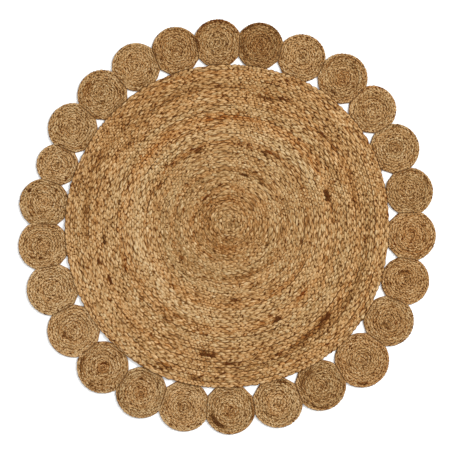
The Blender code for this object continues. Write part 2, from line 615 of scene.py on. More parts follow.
@dataclass(frozen=True)
class Gauge:
    """The make of a three-strand plait, with its sizes across and through it."""

    width: float  # of the plait, so also the pitch of its turns
    height: float  # from its underside to its top
    lay_inside: float  # length in which a strand swings over and back, near the middle
    lay_outside: float  # and near the rim
    lay_change: tuple[float, float]  # the radii between which the lay grows
    swing: float = 0.27  # of a strand's centre to each side, as a share of the plait's width
    square: float = 1.2  # how quickly it crosses from side to side, where 0 is a plain wave
    late: float = math.radians(12)  # how far into the lay it lies outermost
    strand_width: float = 0.77  # at the top of a crossing, as a share of the plait's width
    strand_height: float = 0.54  # as a share of the plait's height
    pinch: float = 0.45  # how much narrower a strand is where it lies lowest, as a share
    nesting: float = 0.92  # how far the humps of a turn settle in the notches of the last, to 1
    crest: float = math.radians(37.5)  # how far into the lay a strand is on top, and half a lay on
    stay: float = 0.42  # how long it stays on top, from 0 for half of the way to 1 for all of it
    snap: float = 1.5  # how suddenly it dives, where 0 is a plain wave
    painted_deep_shade: float = 0.85  # painted shade: how much lying low between the strands counts as deep
    painted_edge_shade: float = 0.45  # painted shade: how much deeper the edges of a strand count than its crown
    painted_shades_inside: float = 1.0  # how strong the painted shade looks near the middle, as a share of near the rim
    fineness: float = 1.0  # of the bundles in a strand, where 2 is bundles of half the width
    steps: int = 12  # along one lay
    sides: int = 6
    first_step: float = math.radians(7.5)  # puts a step on the very top of each crossing

    @property
    def rise(self) -> float:
        """How far a strand's centre rises and falls at a crossing."""
        return self.height * (1 - self.strand_height) / 2

    def _outwards(self, radius: Array, inside: float, outside: float) -> Array:
        """What goes from one value near the middle to another near the rim."""
        low, high = self.lay_change
        return inside + (outside - inside) * np.clip((radius - low) / (high - low), 0, 1)

    def lay(self, radius: Array) -> Array:
        """The length of the lay at each radius."""
        return self._outwards(radius, self.lay_inside, self.lay_outside)

    def painted_shades(self, radius: Array) -> Array:
        """How strong the painted shade of the clefts is at each radius: the tighter plait of the middle
        closes them.
        """
        return self._outwards(radius, self.painted_shades_inside, 1.0)


@dataclass(frozen=True)
class Unevenness:
    """How far hand plaiting strays, as shares of the sizes it acts on unless a comment says otherwise.

    What has a length strays in that length along the plait. Most of the rest strays from one
    crossing to the next.
    """

    lay: float = 0.04
    lay_length: float = 120 * MM
    strand_size: float = 0.11
    swing: float = 0.09
    rise: float = 0.10  # from each rise to the next dive
    timing: float = 0.20  # angle of the lay
    sideways: float = 0.05  # of the plait's width
    sideways_length: float = 60 * MM
    tone_of_crossing: float = 0.045  # tones and warmths are added to those of the lot
    tone_of_strand: float = 0.02
    tone_of_strand_length: float = 300 * MM
    tone_of_plait: float = 0.02
    tone_of_plait_length: float = 700 * MM
    warmth_of_crossing: float = 0.06  # more where a crossing is dark, and less where it is pale
    warmth_of_strand: float = 0.07
    warmth_of_strand_length: float = 250 * MM
    warmth_of_plait: float = 0.05
    warmth_of_plait_length: float = 500 * MM
    specks: float = 0.026  # share of a strand's points where a bit of bark is left on
    tone_of_speck: float = -0.9
    patchiness: float = 0.3  # how unlike the crossings in one patch are
    splice: float = 0.7  # of a turn, by which a strand changes lots before or after the others


@dataclass(frozen=True)
class Course:
    """The line that a plait follows, at close steps along it."""

    along: Array  # length from the start
    middle: Array  # the plait's middle line
    across: Array  # from its inner to its outer edge
    radius: Array  # from the centre of the winding, as wound before pressing
    bearing: Array  # direction from the centre
    fullness: Array  # its width, as a share of the greatest

    def at(self, lengths: Array) -> "Course":
        """Finds places on the course.

        Args:
            lengths: their lengths from the start.

        Returns:
            The course at those places.
        """
        found = []
        for values in (self.middle, self.across, self.radius, self.bearing, self.fullness):
            columns = values.reshape(len(values), -1).T
            rows = np.stack([np.interp(lengths, self.along, column) for column in columns], axis=-1)
            found.append(rows.reshape(-1, *values.shape[1:]))
        return Course(lengths, *found)


@dataclass(frozen=True)
class Winding:
    """A flat spiral that fills a rim, wound outwards anticlockwise.

    Its first turns are a plain spiral. Towards the rim they become rings that step outwards
    just before the tail, so that the last one ends flush with the rim.
    """

    rim: Rim
    gauge: Gauge
    tail: float  # bearing of the outer end
    shift: tuple[float, float] = (0.0, 0.0)  # of the first turn off the rim's centre
    seam: float = 0.0  # how far the last turn stays back from the edge where it is sewn
    ring_turns: float = 8.0  # the last turns, over which spiral becomes rings
    step_out: float = 0.16  # share of a turn that a ring takes to step outwards
    start_turn: float = 0.12  # at which the plait begins
    fine_step: float = 1.0 * MM

    BEYOND = 1.02  # how far out a point may be, as a share of the disc's widest reach
    FULL_SHARE = 0.9  # of a course, that which is no wider than its full width

    @property
    def turns(self) -> int:
        """How many turns fill the rim."""
        return round(self.rim.widest / self.gauge.width)

    @property
    def pitch(self) -> float:
        """The distance from one turn to the next before pressing."""
        return self.rim.widest / self.turns

    def place(self, bearing: Array, radius: Array, seam: float = 0.0) -> Array:
        """Where a point of the winding lies once its disc is pressed to shape.

        Args:
            bearing: direction from the centre.
            radius: distance from the centre before pressing.
            seam: how far it stays back from the edge where the disc is sewn.

        Returns:
            Points on the floor.
        """
        share = np.clip(radius / self.rim.widest, 0, self.BEYOND)[:, None]
        reach = self.rim.reach(bearing) - seam * self.rim.sewn(bearing)
        pressed = 1 - (1 - reach[:, None] / self.rim.widest) * share**2
        outwards = directions(bearing) * radius[:, None] * pressed
        return self.rim.centre + np.array(self.shift) * (1 - share**2) + outwards

    def course(self) -> Course:
        """Lays out the plait's line.

        Returns:
            The course, from the centre to the tail.
        """
        length = math.pi * self.rim.widest**2 / self.pitch
        even = np.linspace(0, 1, int(length / self.fine_step))
        turn = self.start_turn + (self.turns - self.start_turn) * np.sqrt(even)
        # A ring keeps to the middle between two whole turns until it steps out at its end.
        part = turn % 1.0
        out = smooth(np.clip((part - (1 - self.step_out)) / self.step_out, 0, 1))
        ringness = np.clip((turn - (self.turns - 1 - self.ring_turns)) / self.ring_turns, 0, 1)
        centre_turn = turn + ringness * (0.5 + out - part)
        # The last one has no turn to step out to: it narrows to nothing along the rim.
        last = turn > self.turns - self.step_out
        left = np.where(last, 1 - out, 1.0)
        centre_turn = np.where(last, self.turns - left / 2, centre_turn)
        bearing = self.tail + math.tau * turn
        radius = centre_turn * self.pitch
        half = left * self.pitch / 2
        inner = self.place(bearing, np.maximum(radius - half, 0), self.seam)
        outer = self.place(bearing, radius + half, self.seam)
        middle = (inner + outer) / 2
        across = outer - inner
        width = np.linalg.norm(across, axis=1)
        steps = np.linalg.norm(np.diff(middle, axis=0), axis=1)
        along = np.concatenate([[0.0], np.cumsum(steps)])
        return Course(along, middle, across, radius, bearing, width / np.quantile(width, self.FULL_SHARE))


@dataclass(frozen=True)
class Patch:
    """Fibre of another colour along a stretch of some turns."""

    bearing: float  # of its middle, in degrees
    radius: float  # of its middle, in mm
    sweep: float  # length along the turn, in degrees
    depth: float  # across the turns, in mm
    tone: float  # added to the fibre's tone
    warmth: float = 0.0  # added to its warmth

    def strength(self, bearing: Array, radius: Array) -> Array:
        """How far the patch shows at each place of a course.

        Args:
            bearing: directions from the centre.
            radius: distances from the centre.

        Returns:
            Shares from 0 to 1.
        """
        off = np.degrees(wrapped(bearing - math.radians(self.bearing)))
        aside = (radius / MM - self.radius) / (self.depth / 2)
        return np.exp(-((off / (self.sweep / 2)) ** 4) - aside**4)


@dataclass(frozen=True)
class Strand:
    """One strand of a plait, as rings of points along it."""

    rings: Array
    looks: dict[str, Array]  # what the material reads at each point: tone, warmth, depth for the painted shade, inside


@dataclass
class Plait:
    """A wound plait: its three strands as tubes, each with its own colours."""

    name: str
    winding: Winding
    seed: int
    splices: Sequence[tuple[float, Lot]]  # radius in mm up to which a lot of fibre goes, in order
    patches: Sequence[Patch] = ()
    uneven: Unevenness = Unevenness()
    pieces: int = 1

    STRANDS = 3
    CROSSING = math.pi  # of the lay, between a strand's two crossings over the others
    NEST_TURNS = 2.0  # after the first, over which the nesting sets in
    NEST_PASSES = 2
    END_SIZE = 0.25  # of the strand's thickness, at both ends of the plait
    END_STEPS = 3
    FLOOR = 0.1 * MM  # no fibre reaches lower: the plait is pressed flat on the floor
    FIBRE_OFFSET = 100.0  # between two strands, so that they don't have the same fibres
    MAP_MARGIN = 0.06  # of a strip of the bake map
    MAP_END = 0.05  # radius of a strand's end on it, in steps

    def build(self) -> list[Object]:
        """Builds the plait.

        Returns:
            Its pieces, from the centre outwards.
        """
        rng = np.random.default_rng(self.seed)
        uneven = self.uneven
        course = self.winding.course()
        lay = self.winding.gauge.lay(course.radius)
        lay = lay * (1 + drift(rng, course.along, uneven.lay_length) * uneven.lay)
        turned = np.concatenate([[0.0], np.cumsum(np.diff(course.along) * math.tau / lay[1:])])
        turned = self._nest(course, turned)
        shared = [
            drift(rng, course.along, length) * amount
            for length, amount in (
                (uneven.sideways_length, uneven.sideways),
                (uneven.tone_of_plait_length, uneven.tone_of_plait),
                (uneven.warmth_of_plait_length, uneven.warmth_of_plait),
            )
        ]
        strands = [self._strand(rng, course, turned, shared, number) for number in range(self.STRANDS)]
        if self.pieces == 1:
            return [self._piece(self.name, strands, 0)]
        return [self._piece(f"{self.name}_{part + 1}", strands, part) for part in range(self.pieces)]

    def _nest(self, course: Course, turned: Array) -> Array:
        """Eases the lay along each turn, so that humps settle in the notches of the turn before.

        Args:
            course: the plait's line.
            turned: angle of the lay at each step of the course, before sewing.

        Returns:
            The angle as sewn.
        """
        hump = math.tau / self.STRANDS
        turn = (course.bearing - course.bearing[0]) / math.tau
        humps = (turned - np.interp(turn - 1, turn, turned)) / hump
        ease = self.winding.gauge.nesting * np.clip((turn - 1) / self.NEST_TURNS, 0, 1)
        for _ in range(self.NEST_PASSES):
            humps = humps - ease * np.sin(math.tau * humps) / math.tau
        for number in range(1, int(turn[-1]) + 1):
            here = (turn >= number) & (turn < number + 1)
            turned[here] = np.interp(turn[here] - 1, turn, turned) + humps[here] * hump
        return turned

    def _strand(
        self,
        rng: np.random.Generator,
        course: Course,
        turned: Array,
        shared: Sequence[Array],
        number: int,
    ) -> Strand:
        """Lays out one strand.

        Args:
            rng: the random generator.
            course: the plait's line.
            turned: angle of the lay at each step of the course.
            shared: how far the plait strays sideways, in tone and in warmth at each step.
            number: which strand it is.

        Returns:
            The strand.
        """
        gauge = self.winding.gauge
        phase = turned + math.tau * number / self.STRANDS
        phase = phase + drift(rng, turned, self.CROSSING) * self.uneven.timing
        phase = np.maximum.accumulate(phase)
        step = math.tau / gauge.steps
        first = math.ceil((phase[0] - gauge.first_step) / step)
        last = math.floor((phase[-1] - gauge.first_step) / step)
        angle = gauge.first_step + step * np.arange(first, last + 1)
        at = np.interp(angle, phase, course.along)
        sideways, tone, warmth = (np.interp(at, course.along, values) for values in shared)
        place = course.at(at)
        rings, inside, radius = self._shape(rng, place, angle, sideways)
        # depth sets the painted shade: most midway down between the strands and at a strand's edges
        low = 1 - np.abs(rings[..., 2] / gauge.height * 2 - 1)  # 1 midway down, 0 above and below
        edge = np.cos(all_round(gauge.sides)) ** 2
        depth = (gauge.painted_deep_shade * low + gauge.painted_edge_shade * edge) * gauge.painted_shades(radius)[:, None]
        along = np.broadcast_to((at + number * self.FIBRE_OFFSET)[:, None, None], (*low.shape, 1))
        added_tone, added_warmth = self._colour(rng, place, angle, radius)
        tone = tone + added_tone
        warmth = np.clip(warmth + added_warmth, 0, 1)
        speck = rng.random(low.shape) < self.uneven.specks
        looks = {
            "tone": tone[:, None] + speck * self.uneven.tone_of_speck,
            "warmth": np.broadcast_to(warmth[:, None], low.shape),
            "depth": np.clip(depth, 0, 1),
            "inside": np.concatenate([inside, along], axis=-1) * gauge.fineness,
        }
        return Strand(rings, looks)

    def _shape(
        self, rng: np.random.Generator, place: Course, angle: Array, sideways: Array
    ) -> tuple[Array, Array, Array]:
        """Leads one strand through the plait.

        Args:
            rng: the random generator.
            place: the plait's line at the strand's steps.
            angle: of the lay, at each step.
            sideways: how far the plait strays from its line.

        Returns:
            Rings of points, the place of each point inside the strand, and the strand's distance
            from the centre at each step.
        """
        gauge, uneven = self.winding.gauge, self.uneven
        swing = gauge.swing * (1 + drift(rng, angle, self.CROSSING) * uneven.swing)
        aside_by = swing * np.tanh(gauge.square * np.cos(angle - gauge.late)) / math.tanh(gauge.square)
        rise = gauge.rise * (1 + drift(rng, angle, self.CROSSING / 2) * uneven.rise)
        above = np.cos(2 * (angle - gauge.crest))
        arch = np.tanh(gauge.snap * (above + gauge.stay)) / math.tanh(gauge.snap * (1 + gauge.stay))
        flat = place.middle + place.across * (aside_by + sideways)[:, None]
        line = np.column_stack([flat, gauge.height / 2 + rise * arch])
        size = 1 + drift(rng, angle, self.CROSSING) * uneven.strand_size
        from_end = np.minimum(np.arange(len(angle)), np.arange(len(angle))[::-1])
        size = size * np.clip(self.END_SIZE + from_end / self.END_STEPS, 0, 1)
        leaf = 1 - gauge.pinch * (1 - above) / 2
        half_width = gauge.width * gauge.strand_width / 2 * size * place.fullness * leaf
        half_height = gauge.height * gauge.strand_height / 2 * size * np.sqrt(place.fullness)
        rings, inside = tube_rings(line, half_width, half_height, gauge.sides)
        rings[..., 2] = np.maximum(rings[..., 2], self.FLOOR)
        return rings, inside, place.radius + np.linalg.norm(place.across, axis=1) * aside_by

    def _colour(
        self, rng: np.random.Generator, place: Course, angle: Array, radius: Array
    ) -> tuple[Array, Array]:
        """Finds the colour of one strand.

        Args:
            rng: the random generator.
            place: the plait's line at the strand's steps.
            angle: of the lay, at each step.
            radius: the strand's distance from the centre.

        Returns:
            Its tone and warmth at each step, before what the whole plait strays.
        """
        uneven = self.uneven
        shade = drift(rng, angle, self.CROSSING)
        tone = shade * uneven.tone_of_crossing
        tone = tone + drift(rng, place.along, uneven.tone_of_strand_length) * uneven.tone_of_strand
        warmth = drift(rng, place.along, uneven.warmth_of_strand_length) * uneven.warmth_of_strand
        warmth = warmth - shade * uneven.warmth_of_crossing
        ends = np.array([end for end, _ in self.splices]) * MM
        ends = ends + rng.uniform(-uneven.splice, uneven.splice, len(ends)) * self.winding.pitch
        which = np.clip(np.searchsorted(ends, radius), 0, len(ends) - 1)
        tone = tone + np.array([lot.tone for _, lot in self.splices])[which]
        warmth = warmth + np.array([lot.warmth for _, lot in self.splices])[which]
        patchy = np.clip(1 + drift(rng, angle, self.CROSSING) * uneven.patchiness, 0, None)
        for patch in self.patches:
            strength = patch.strength(place.bearing, radius) * patchy
            tone = tone + patch.tone * strength
            warmth = warmth + patch.warmth * strength
        return tone, warmth

    def _piece(self, name: str, strands: Sequence[Strand], number: int) -> Object:
        """Makes one piece of the plait.

        Args:
            name: the piece's name.
            strands: all three strands.
            number: which piece it is, from the centre.

        Returns:
            The piece.
        """
        sides = self.winding.gauge.sides
        points, faces, ends = [], [], []
        looks = {key: [] for key in strands[0].looks}
        for strand in strands:
            steps = len(strand.rings) - 1
            begin = round(number * steps / self.pieces)
            end = round((number + 1) * steps / self.pieces) + 1
            along, closing = tube_faces(end - begin, sides, sum(map(len, points)))
            faces += along
            ends += closing
            points.append(strand.rings[begin:end].reshape(-1, 3))
            for key, values in looks.items():
                values.append(strand.looks[key][begin:end].reshape(len(points[-1]), -1))
        looks = {key: np.concatenate(values) for key, values in looks.items()}
        piece = new_piece(name, np.concatenate(points), faces + ends, looks)
        mesh = piece.data
        for face in mesh.polygons[len(faces) :]:
            for loop in face.loop_indices:
                mesh.edges[mesh.loops[loop].edge_index].use_edge_sharp = True
        self._add_bake_map(mesh, len(faces) // sides, len(ends))
        return piece

    def _add_bake_map(self, mesh: bpy.types.Mesh, steps: int, ends: int) -> None:
        """Lays the strands out in rows of strips, a map named OFBake through which the materials can be
        baked.

        Args:
            mesh: the piece's mesh, with the faces along its strands first.
            steps: how many steps all strands have together.
            ends: how many faces close the strands' ends.
        """
        gauge = self.winding.gauge
        girth = math.pi * (gauge.width * gauge.strand_width + gauge.height * gauge.strand_height) / 2
        step_length = gauge.lay_outside / gauge.steps
        per_row = math.ceil(math.sqrt(steps * girth / step_length))
        rows = math.ceil((steps + 1) / per_row)
        step, side = np.meshgrid(np.arange(steps), np.arange(gauge.sides), indexing="ij")
        corners = np.array([(0, 0), (0, 1), (1, 1), (1, 0)])
        along = (step % per_row)[..., None] + corners[:, 0]
        round_it = (side[..., None] + corners[:, 1]) / gauge.sides
        height = (step // per_row)[..., None] + self.MAP_MARGIN + round_it * (1 - 2 * self.MAP_MARGIN)
        strips = np.stack([along / per_row, height / rows], axis=-1).reshape(-1, 2)
        spare = np.array([steps % per_row, steps // per_row]) + 0.5  # after the last step, midway
        end = (spare + self.MAP_END * directions(all_round(gauge.sides))) / (per_row, rows)
        layer = mesh.uv_layers.new(name="OFBake")
        layer.uv.foreach_set("vector", np.concatenate([strips, *[end] * ends]).astype(np.float32).ravel())


# ---- the sheet of painted shade inside each disc ----


@dataclass
class PaintedShadeSheet:
    """A disc's sheet of painted shade: a thin round sheet that the strands wrap, dark where it shows
    between them.
    """

    name: str
    winding: Winding
    low: float = 3.0 * MM  # its underside
    high: float = 6.0 * MM  # its top
    inset: float = 2.6 * MM  # of its full thickness from the rim
    lip: float = 0.9 * MM  # thickness of what goes on to the rim, where the discs are sewn
    reach: float = 0.2 * MM  # of the lip into the seam
    columns: int = 90  # of faces, all round
    rows: int = 6  # of faces from the middle to the full thickness

    def build(self) -> Object:
        """Builds the sheet of painted shade.

        Returns:
            The piece, a closed sheet.
        """
        full = self.winding.rim.widest
        to_ring = [*(np.arange(1, self.rows + 1) / self.rows * (full - self.inset)), full + self.reach]
        radii = np.repeat(to_ring, self.columns)
        bearings = np.tile(all_round(self.columns), len(to_ring))
        flat = self.winding.place(bearings, radii)
        centre = self.winding.place(np.zeros(1), np.zeros(1))[0]
        top = np.column_stack([flat, np.where(radii > full, self.low + self.lip, self.high)])
        bottom = np.column_stack([flat, np.full(len(flat), self.low)])
        points = np.concatenate([top, bottom, [(*centre, self.high), (*centre, self.low)]])
        inside = np.column_stack([radii, np.zeros(len(radii)), bearings * radii])
        inside = np.concatenate([inside, inside, np.zeros((2, 3))])
        return new_piece(self.name, points, self._faces(), {"inside": inside})

    def _faces(self) -> list[Sequence[int]]:
        """Joins the points of the top and the underside.

        Returns:
            The numbers of each face's points.
        """
        faces = []
        per_side = (self.rows + 1) * self.columns
        for side, middle in ((0, 2 * per_side), (per_side, 2 * per_side + 1)):
            for column in range(self.columns):
                beside = (column + 1) % self.columns
                ring = [(side + column, side + beside, middle)]
                for row in range(self.rows):
                    inner, outer = side + row * self.columns, side + (row + 1) * self.columns
                    ring.append((inner + column, outer + column, outer + beside, inner + beside))
                faces += ring if side == 0 else [face[::-1] for face in ring]
        top = self.rows * self.columns
        bottom = per_side + top
        for column in range(self.columns):
            beside = (column + 1) % self.columns
            faces.append((top + column, bottom + column, bottom + beside, top + beside))
        return faces


# ---- the discs ----


@dataclass
class Disc:
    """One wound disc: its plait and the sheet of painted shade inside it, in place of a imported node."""

    node: str
    slot: str
    plait: Plait
    inner: PaintedShadeSheet

    EDGE_STEPS = 720  # by which its area is measured

    def build(self, jute: Material, fibre: Material) -> list[Object]:
        """Builds and dresses the disc.

        Args:
            jute: the plait's material.
            fibre: the material of the sheet of painted shade.

        Returns:
            Its pieces.
        """
        plaits = self.plait.build()
        inner = self.inner.build()
        for piece in plaits:
            piece.data.materials.append(jute)
        inner.data.materials.append(fibre)
        for piece in (*plaits, inner):
            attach(piece, BODY)
            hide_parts(self.node)
        rim = self.plait.winding.rim
        area = float((rim.reach(all_round(self.EDGE_STEPS)) ** 2).mean() * math.pi)
        return [*plaits, inner]


# ---- this rug's discs ----

CENTRE_GAUGE = Gauge(
    width=13.9 * MM,
    height=9.0 * MM,
    lay_inside=43 * MM,
    lay_outside=54 * MM,
    lay_change=(190 * MM, 240 * MM),
    painted_shades_inside=0.8,
)
COIL_GAUGE = Gauge(
    width=8.1 * MM,
    height=7.0 * MM,
    lay_inside=25 * MM,
    lay_outside=28 * MM,
    lay_change=(10 * MM, 40 * MM),
    strand_width=0.70,
    strand_height=0.5,
    pinch=0.40,
    nesting=0.3,
    painted_deep_shade=0.58,
    painted_edge_shade=0.58,
    fineness=1.5,
    crest=math.radians(45),
    steps=8,
    sides=5,
    first_step=0.0,
)

COIL_UNEVENNESS = Unevenness(specks=0.075, tone_of_crossing=0.07)

ALL_ROUND = 720.0  # sweep of a patch that goes round the whole turn

# The plait was fed with one lot of jute after another, from the middle outwards.
CENTRE_SPLICES = (
    (20, Lot.DUN),
    (44, Lot.GOLDEN),
    (54, Lot.DUN),
    (86, Lot.BROWN),
    (98, Lot.DUN),
    (110, Lot.BROWN),
    (142, Lot.STRAW),
    (172, Lot.DUN),
    (212, Lot.TAN),
    (226, Lot.GOLDEN),
    (251, Lot.HONEY),
    (284, Lot.PALE),
    (295, Lot.STRAW),
    (323, Lot.HONEY),
    (352, Lot.STRAW),
    (366, Lot.GOLDEN),
    (392, Lot.HONEY),
    (422, Lot.DUN),
    (470, Lot.GOLDEN),
)

# Where fibre is darker, redder or paler than its lot.
CENTRE_PATCHES = (
    # broad stretches
    Patch(215, 432, 84, 84, 0.09),
    Patch(122, 432, 60, 44, -0.075, 0.03),
    Patch(210, 275, 84, 56, 0.05),
    Patch(115, 322, 72, 30, -0.05, 0.14),
    Patch(92, 272, 64, 42, -0.04, 0.16),
    Patch(112, 154, 50, 28, -0.065),
    Patch(247, 205, 52, 38, 0.065),
    Patch(0, 142, 84, 52, 0.05),
    Patch(45, 42, 96, 28, 0.055),
    Patch(255, 126, 54, 28, 0.045, -0.10),
    Patch(292, 182, 48, 30, -0.03, 0.18),
    Patch(15, 462, 36, 26, -0.05),
    Patch(325, 462, 64, 26, 0.045),
    Patch(75, 406, 36, 30, -0.05),
    # whole turns
    Patch(0, 0, ALL_ROUND, 420, -0.03, -0.07),
    Patch(0, 0, ALL_ROUND, 36, -0.07),
    Patch(0, 160, ALL_ROUND, 16, -0.04),
    Patch(0, 189, ALL_ROUND, 12, -0.04),
    Patch(0, 245, ALL_ROUND, 12, -0.05),
    Patch(0, 273, ALL_ROUND, 12, -0.02),
    Patch(0, 455, ALL_ROUND, 20, -0.03),
    # bundles near the middle
    Patch(95, 70, 60, 14, -0.10, 0.15),
    Patch(165, 62, 60, 12, -0.12),
    Patch(145, 85, 30, 14, -0.10, 0.10),
    Patch(131, 103, 16, 6, -0.60),
    Patch(270, 72, 60, 16, -0.10, 0.20),
    Patch(270, 48, 50, 9, -0.15),
    Patch(110, 113, 30, 12, -0.12, -0.10),
    Patch(332, 126, 14, 5, -0.70, -0.10),
    Patch(52, 150, 5, 8, -0.80, -0.10),
    Patch(74, 150, 12, 6, -0.65),
    Patch(62, 159, 60, 12, -0.08, -0.10),
    Patch(15, 172, 30, 20, -0.10, -0.10),
    Patch(283, 157, 10, 9, -0.25, 0.10),
    Patch(300, 157, 30, 9, -0.18, 0.15),
    Patch(320, 163, 10, 8, -0.20, 0.10),
    Patch(210, 172, 40, 14, -0.10, 0.05),
    # bundles on the brown and russet turns
    Patch(319, 201, 6, 6, -0.65, -0.10),
    Patch(347, 214, 5, 6, -0.60, -0.10),
    Patch(10, 228, 26, 14, -0.12, 0.05),
    Patch(58, 238, 14, 7, -0.50, 0.30),
    Patch(64, 231, 4, 7, -0.80),
    Patch(71, 232, 8, 9, -0.20, 0.20),
    Patch(88, 232, 30, 14, -0.10, 0.25),
    Patch(112, 231, 6, 8, -0.85),
    Patch(125, 238, 26, 11, -0.12, 0.20),
    Patch(150, 230, 6, 7, -0.60, 0.10),
    Patch(190, 232, 60, 18, 0.14, -0.10),
    Patch(227, 242, 5, 8, -0.60, 0.10),
    Patch(275, 222, 8, 8, -0.75, 0.10),
    Patch(315, 239, 50, 10, -0.10, 0.15),
    # bundles on the pale turns and the golden ones beside them
    Patch(75, 268, 110, 30, 0.04, -0.10),
    Patch(200, 263, 80, 24, 0.08, -0.05),
    Patch(317, 292, 9, 9, -0.60, 0.45),
    Patch(17, 297, 6, 13, -0.85, -0.10),
    Patch(12, 303, 10, 7, -0.25, 0.10),
    Patch(45, 311, 40, 18, -0.08, 0.12),
    Patch(90, 313, 30, 16, -0.12, 0.20),
    Patch(130, 309, 30, 14, -0.12, 0.20),
    Patch(159, 312, 4, 8, -0.70, 0.10),
    Patch(197, 317, 7, 8, -0.25, 0.20),
    Patch(202, 322, 3, 10, -0.65, 0.35),
    Patch(237, 298, 14, 10, -0.20, 0.15),
    Patch(235, 319, 4, 9, -0.65),
    Patch(287, 308, 10, 9, -0.15, 0.10),
    Patch(297, 308, 5, 9, -0.60, -0.10),
    # bundles on the outer turns
    Patch(186.5, 361, 4, 10, -0.95, -0.10),
    Patch(204.5, 377, 4, 9, -0.85, -0.10),
    Patch(195, 386, 3, 7, -0.65),
    Patch(140, 373, 6, 12, -0.40),
    Patch(125, 396, 20, 11, -0.18),
    Patch(110, 402, 22, 13, -0.15),
    Patch(20, 378, 30, 15, -0.15, 0.10),
    Patch(37, 380, 6, 8, -0.40),
    Patch(44, 375, 7, 9, -0.55),
    Patch(74, 385, 8, 13, -0.50, -0.05),
    Patch(67, 397, 6, 9, -0.45),
    Patch(173, 415, 14, 15, -0.25),
    Patch(155, 426, 20, 20, -0.10, 0.10),
    Patch(184, 408, 8, 9, -0.20),
    Patch(261, 378, 7, 11, -0.60),
    Patch(271, 400, 5, 8, -0.80),
    Patch(316, 385, 8, 18, -0.50),
    Patch(307, 392, 16, 15, -0.25),
    Patch(310, 400, 80, 20, -0.10),
    Patch(340, 410, 40, 14, -0.12),
    Patch(245, 441, 8, 16, -0.40, 0.15),
    Patch(258, 450, 4, 8, -0.65),
)


@dataclass(frozen=True)
class CoilLook:
    """How the jute of one rim coil looks."""

    lot: Lot
    heart: Lot | None = None  # of the first turns, where they are of another lot
    marks: tuple[Patch, ...] = ()
    paler: float = 0.0  # added to the tone of all its fibre

    HEART_RADIUS = 20.0  # mm
    BEYOND = 100.0  # mm, more than any coil reaches

    @property
    def splices(self) -> list[tuple[float, Lot]]:
        """The lots of fibre from the middle outwards."""
        heart = [] if self.heart is None else [(self.HEART_RADIUS, self.heart)]
        return [*heart, (self.BEYOND, self.lot)]

    @property
    def patches(self) -> list[Patch]:
        """Its marks, and how much paler the whole coil is."""
        return [Patch(0, 0, ALL_ROUND, 2 * self.BEYOND, self.paler), *self.marks]


